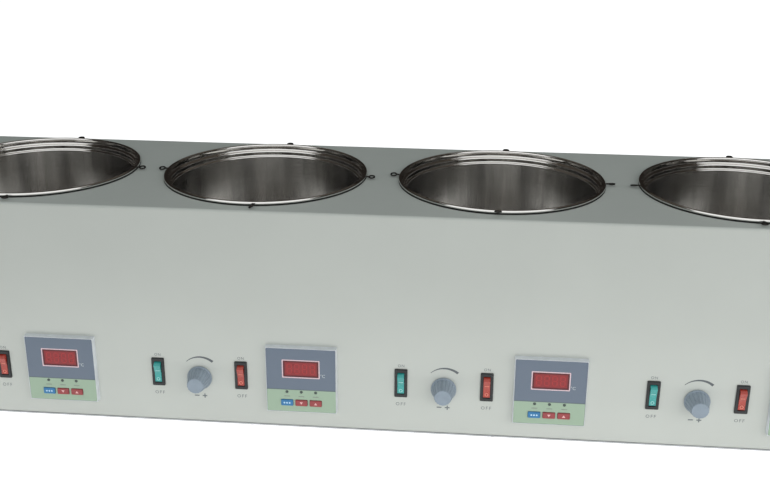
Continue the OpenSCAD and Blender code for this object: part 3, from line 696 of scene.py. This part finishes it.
def letters(name, words, height, place, material, body, spacing=1.0):
    """Plain words as a thin text object, centred on its place."""
    curve = bpy.data.curves.new(name, "FONT")
    curve.body = words
    curve.size = height / CAPITAL_SHARE
    curve.space_character = spacing
    curve.align_x = "CENTER"
    curve.align_y = "CENTER"
    curve.extrude = (INK + SUNK) / 2
    curve.resolution_u = LETTER_STEPS
    curve.materials.append(material)
    piece = bpy.data.objects.new(name, curve)
    bpy.context.scene.collection.objects.link(piece)
    piece.matrix_world = place @ Matrix.Translation((0, 0, (INK - SUNK) / 2))
    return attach(piece, body)


# Printing on the case


def swoosh():
    """An arc that grows from a thin left end to a thick right end."""
    inner = []
    outer = []
    for k in range(ARC_STEPS + 1):
        part = k / ARC_STEPS
        angle = math.radians(90 + ARC_HALF_SPAN * (1 - 2 * part))
        reach = ARC_RADIUS + (ARC_THIN + (ARC_THICK - ARC_THIN) * part)
        inner.append((ARC_RADIUS * math.cos(angle), ARC_RADIUS * math.sin(angle)))
        outer.append((reach * math.cos(angle), reach * math.sin(angle)))
    return inner + list(reversed(outer))


def cross(arm, line):
    """A plus sign, from its arm's length and half the width of its line."""
    return [
        (-arm, -line), (-line, -line), (-line, -arm), (line, -arm), (line, -line), (arm, -line),
        (arm, line), (line, line), (line, arm), (-line, arm), (-line, line), (-arm, line),
    ]


def print_panel(n):
    x = KNOB_X[n - 1]
    flat_piece(f"speed_arc_{n}", [swoosh()], on_panel(x, -ARC_DROP), DARK_INK, CASE)
    minus = moved(rectangle(SIGN_ARM, SIGN_LINE / 2), -SIGN_APART, -SIGN_BELOW)
    flat_piece(f"minus_sign_{n}", [minus], on_panel(x), GREY_INK, CASE)
    plus = moved(cross(SIGN_ARM, SIGN_LINE / 2), SIGN_APART, -SIGN_BELOW)
    flat_piece(f"plus_sign_{n}", [plus], on_panel(x), GREY_INK, CASE)
    for kind, switch_x in (("stir", STIR_X[n - 1]), ("heat", HEAT_X[n - 1])):
        above = on_panel(switch_x, BEZEL_TOP + ON_ABOVE)
        below = on_panel(switch_x, -BEZEL_TOP - OFF_BELOW)
        letters(f"{kind}_on_{n}", "ON", ON_HEIGHT, above, GREY_INK, CASE, ON_SPACING)
        letters(f"{kind}_off_{n}", "OFF", OFF_HEIGHT, below, GREY_INK, CASE, OFF_SPACING)


# Printing on a temperature controller


def segment(length, width, x, y, upright):
    """One bar of a digit, with pointed ends."""
    half = length / 2 - width * DIGIT_GAP_SHARE
    side = width / 2
    end = half - side
    bar = [(-half, 0), (-end, -side), (end, -side), (half, 0), (end, side), (-end, side)]
    if upright:
        bar = [(-up, right) for right, up in bar]
    return moved(bar, x, y)


def digit(x):
    """All seven bars of an unlit digit."""
    across = DIGIT_WIDTH - DIGIT_LINE
    half = DIGIT_HEIGHT / 2 - DIGIT_LINE / 2
    bars = [segment(across, DIGIT_LINE, x, y, False) for y in (-half, 0, half)]
    for side in (-1, 1):
        for y in (-half / 2, half / 2):
            bars.append(segment(half, DIGIT_LINE, x + side * across / 2, y, True))
    return bars


def window_band(name, outside, inside, corners, place, material):
    """A band round a display window, from this far outside its edge to this far inside it."""
    half_x, half_y = WINDOW_HALF
    outer = rounded_rectangle(half_x + outside, half_y + outside, corners[0])
    inner = rounded_rectangle(half_x - inside, half_y - inside, corners[1])
    flat_ring(name, outer, inner, place, material, CASE)


def print_controller(n):
    x = CONTROLLER_X[n - 1]
    window = on_panel(x, WINDOW_RISE, WINDOW_OUT)
    face = on_panel(x, WINDOW_RISE, FACE_OUT)
    line_reach = WINDOW_GAP + WINDOW_LINE
    window_band(f"window_border_{n}", 0.0, WINDOW_BORDER, BORDER_CORNERS, window, BORDER_INK)
    window_band(f"window_line_{n}", line_reach, -WINDOW_GAP, LINE_CORNERS, face, PINK_INK)
    bars = []
    for k in range(DIGIT_COUNT):
        bars += digit((k - (DIGIT_COUNT - 1) / 2) * DIGIT_PITCH)
    flat_piece(f"display_digits_{n}", bars, window, DIGIT_INK, CASE)
    unit = on_panel(x + UNIT_PLACE[0], UNIT_PLACE[1], FACE_OUT)
    letters(f"unit_sign_{n}", "°C", UNIT_HEIGHT, unit, WHITE_INK, CASE)
    for k in (-1, 0, 1):
        caption = rectangle(CAPTION_WIDTH / 2, CAPTION_LINE / 2)
        place = on_panel(x + k * KEY_PITCH, LAMP_DROP - CAPTION_DROP, FACE_OUT)
        flat_piece(f"lamp_caption_{n}_{k + 2}", [caption], place, CAPTION_INK, CASE)
    mark_keys(n, x)


def mark_keys(n, x):
    """Three dots on the blue key, and an arrow down and up on the red keys."""
    dot = circle(KEY_MARK * DOT_RADIUS_SHARE)
    dots = [moved(dot, k * KEY_MARK * DOT_PITCH_SHARE, 0.0) for k in (-1, 0, 1)]
    half = KEY_MARK / 2
    tall = half * ARROW_HEIGHT_SHARE
    up = [(-half, -tall), (half, -tall), (0, tall)]
    down = [(half, tall), (-half, tall), (0, -tall)]
    marks = (
        ("set", -1, dots, PALE_BLUE_INK),
        ("down", 0, [down], PALE_RED_INK),
        ("up", 1, [up], PALE_RED_INK),
    )
    for kind, k, loops, colour in marks:
        place = on_panel(x + k * KEY_PITCH, KEY_DROP, KEY_OUT)
        flat_piece(f"{kind}_mark_{n}", loops, place, colour, f"{kind}_key_{n}")


# Marks on the rockers


def on_rocker(x, side, along):
    """A frame on the upper (1) or lower (-1) half of a rocker's face, at rest, this far from its crease."""
    tilt = math.radians(ROCKER_SLOPE)
    return (
        on_panel(x)
        @ Matrix.Translation((0, 0, -PIVOT_DEPTH))
        @ Matrix.Rotation(tilt, 4, "X")
        @ Matrix.Translation((0, 0, CREASE_RISE))
        @ Matrix.Rotation(side * tilt, 4, "X")
        @ Matrix.Translation((0, side * along, 0))
    )


def mark_rocker(kind, n, x):
    body = f"{kind}_rocker_{n}"
    colour = ROCKER_INKS[kind]
    bar = rectangle(BAR_WIDTH / 2, BAR_LINE / 2)
    flat_piece(f"{kind}_line_{n}", [bar], on_rocker(x, 1, BAR_ALONG), colour, body)
    outer = circle(RING_SIZE / 2)
    inner = circle(RING_SIZE / 2 - RING_LINE)
    flat_ring(f"{kind}_ring_{n}", outer, inner, on_rocker(x, -1, RING_ALONG), colour, body)


# Stage, lights and camera


def white_for_camera(tree, plain, strength):
    """Mixes a plain shader with white light that only camera, glossy and transmitted rays see."""
    path = tree.nodes.new("ShaderNodeLightPath")
    seen = path.outputs["Is Camera Ray"]
    for ray in ("Is Glossy Ray", "Is Transmission Ray"):
        either = tree.nodes.new("ShaderNodeMath")
        either.operation = "MAXIMUM"
        tree.links.new(seen, either.inputs[0])
        tree.links.new(path.outputs[ray], either.inputs[1])
        seen = either.outputs["Value"]
    white = tree.nodes.new("ShaderNodeEmission")
    white.inputs["Strength"].default_value = strength
    mix = tree.nodes.new("ShaderNodeMixShader")
    tree.links.new(seen, mix.inputs["Fac"])
    tree.links.new(plain, mix.inputs[1])
    return white, mix


def make_world():
    world = bpy.data.worlds.new("studio")
    bpy.context.scene.world = world
    world.use_nodes = True
    tree = world.node_tree
    plain = tree.nodes["Background"]
    plain.inputs["Color"].default_value = srgb(244, 254, 255)
    plain.inputs["Strength"].default_value = AMBIENT
    white, mix = white_for_camera(tree, plain.outputs["Background"], WORLD_WHITE)
    tree.links.new(white.outputs["Emission"], mix.inputs[2])
    tree.links.new(mix.outputs["Shader"], tree.nodes["World Output"].inputs["Surface"])


def stage_material(name):
    """A material whose surface is still to be joined, with its node tree and the socket for the surface."""
    material = bpy.data.materials.new(name)
    material.use_nodes = True
    tree = material.node_tree
    tree.nodes.remove(tree.nodes["Principled BSDF"])
    return material, tree, tree.nodes["Material Output"].inputs["Surface"]


def make_floor():
    bpy.ops.mesh.primitive_plane_add(size=FLOOR_SIZE, location=(0, 0, 0))
    floor = bpy.context.object
    floor.name = "floor"
    material, tree, surface = stage_material("floor")
    plain = tree.nodes.new("ShaderNodeBsdfDiffuse")
    plain.inputs["Color"].default_value = FLOOR_GREY
    lift, mix = white_for_camera(tree, plain.outputs["BSDF"], FLOOR_GLOW)
    both = tree.nodes.new("ShaderNodeAddShader")
    tree.links.new(lift.outputs["Emission"], both.inputs[0])
    tree.links.new(plain.outputs["BSDF"], both.inputs[1])
    tree.links.new(both.outputs["Shader"], mix.inputs[2])
    tree.links.new(mix.outputs["Shader"], surface)
    floor.data.materials.append(material)


def make_flag(name, corners, colour):
    """A studio card that only the reflections see."""
    mesh = bpy.data.meshes.new(name)
    mesh.from_pydata(corners, [], [(0, 1, 2, 3)])
    flag = bpy.data.objects.new(name, mesh)
    bpy.context.scene.collection.objects.link(flag)
    for ray in ("camera", "diffuse", "transmission", "volume_scatter", "shadow"):
        setattr(flag, f"visible_{ray}", False)
    material, tree, surface = stage_material(name)
    glow = tree.nodes.new("ShaderNodeEmission")
    glow.inputs["Color"].default_value = colour
    tree.links.new(glow.outputs["Emission"], surface)
    mesh.materials.append(material)


def make_flags():
    """Cards left, right, behind and overhead, so that the steel mirrors white only towards the front."""
    side = 1.3
    near = -0.8
    far = 2.0
    open_front = -0.1
    foot = 0.01
    top = 1.6
    dark = srgb(36, 32, 29)
    brown = srgb(84, 78, 71)
    for name, x in (("left_flag", -side), ("right_flag", side)):
        make_flag(name, [(x, near, foot), (x, far, foot), (x, far, top), (x, near, top)], dark)
    back = [(-side, far, foot), (side, far, foot), (side, far, top), (-side, far, top)]
    make_flag("back_flag", back, dark)
    overhead = [(-side, open_front, top), (side, open_front, top), (side, far, top), (-side, far, top)]
    make_flag("overhead_flag", overhead, brown)


def softbox(name, place, target, width, height, power, colour=WHITE_LIGHT):
    light = bpy.data.lights.new(name, "AREA")
    light.shape = "RECTANGLE"
    light.size = width
    light.size_y = height
    light.energy = power
    light.color = colour
    lamp = bpy.data.objects.new(name, light)
    bpy.context.scene.collection.objects.link(lamp)
    lamp.location = place
    lamp.rotation_euler = (Vector(target) - Vector(place)).to_track_quat("-Z", "Y").to_euler()
    lamp.visible_camera = False
    lamp.visible_glossy = False


def make_lights():
    """A broad key from the front and right, a cool fill above, and low fills on every side."""
    softbox("key", place=(0.75, -1.6, 0.95), target=(0.1, 0, 0.15), width=3.6, height=0.9, power=18.5)
    softbox(
        "top_fill",
        place=(0.1, -0.5, 2.0),
        target=(0, 0, 0.25),
        width=2.0,
        height=0.8,
        power=2.0,
        colour=COOL_LIGHT,
    )
    softbox("low_strip", place=(0.2, -0.28, 0.03), target=(0.2, 0, 0.03), width=1.7, height=0.04, power=0.4)
    centre = (0, 0, FILL_LEVEL)
    for name, x in (("left_fill", -FILL_AWAY), ("right_fill", FILL_AWAY)):
        softbox(name, (x, 0, FILL_LEVEL), centre, width=1.6, height=FILL_HEIGHT, power=12.0)
    softbox("back_fill", (0, 2.0, FILL_LEVEL), centre, width=2.4, height=FILL_HEIGHT, power=14.0)


def make_camera():
    data = bpy.data.cameras.new("camera")
    data.sensor_fit = "HORIZONTAL"
    data.sensor_width = SENSOR_WIDTH
    data.lens = FOCAL_PIXELS * SENSOR_WIDTH / IMAGE_WIDTH
    camera = bpy.data.objects.new("camera", data)
    bpy.context.scene.collection.objects.link(camera)
    camera.matrix_world = (
        Matrix.Translation(CAMERA_PLACE)
        @ Matrix.Rotation(math.radians(CAMERA_YAW), 4, "Z")
        @ Matrix.Rotation(math.radians(90 - CAMERA_PITCH), 4, "X")
        @ Matrix.Rotation(math.radians(CAMERA_ROLL), 4, "Z")
    )
    bpy.context.scene.camera = camera


make_camera()
dress_nodes()
for station in range(1, STATIONS + 1):
    make_bath(station)
    print_panel(station)
    print_controller(station)
    mark_rocker("stir", station, STIR_X[station - 1])
    mark_rocker("heat", station, HEAT_X[station - 1])

bpy.context.scene.view_settings.view_transform = "Standard"
make_world()
make_floor()
make_flags()
make_lights()
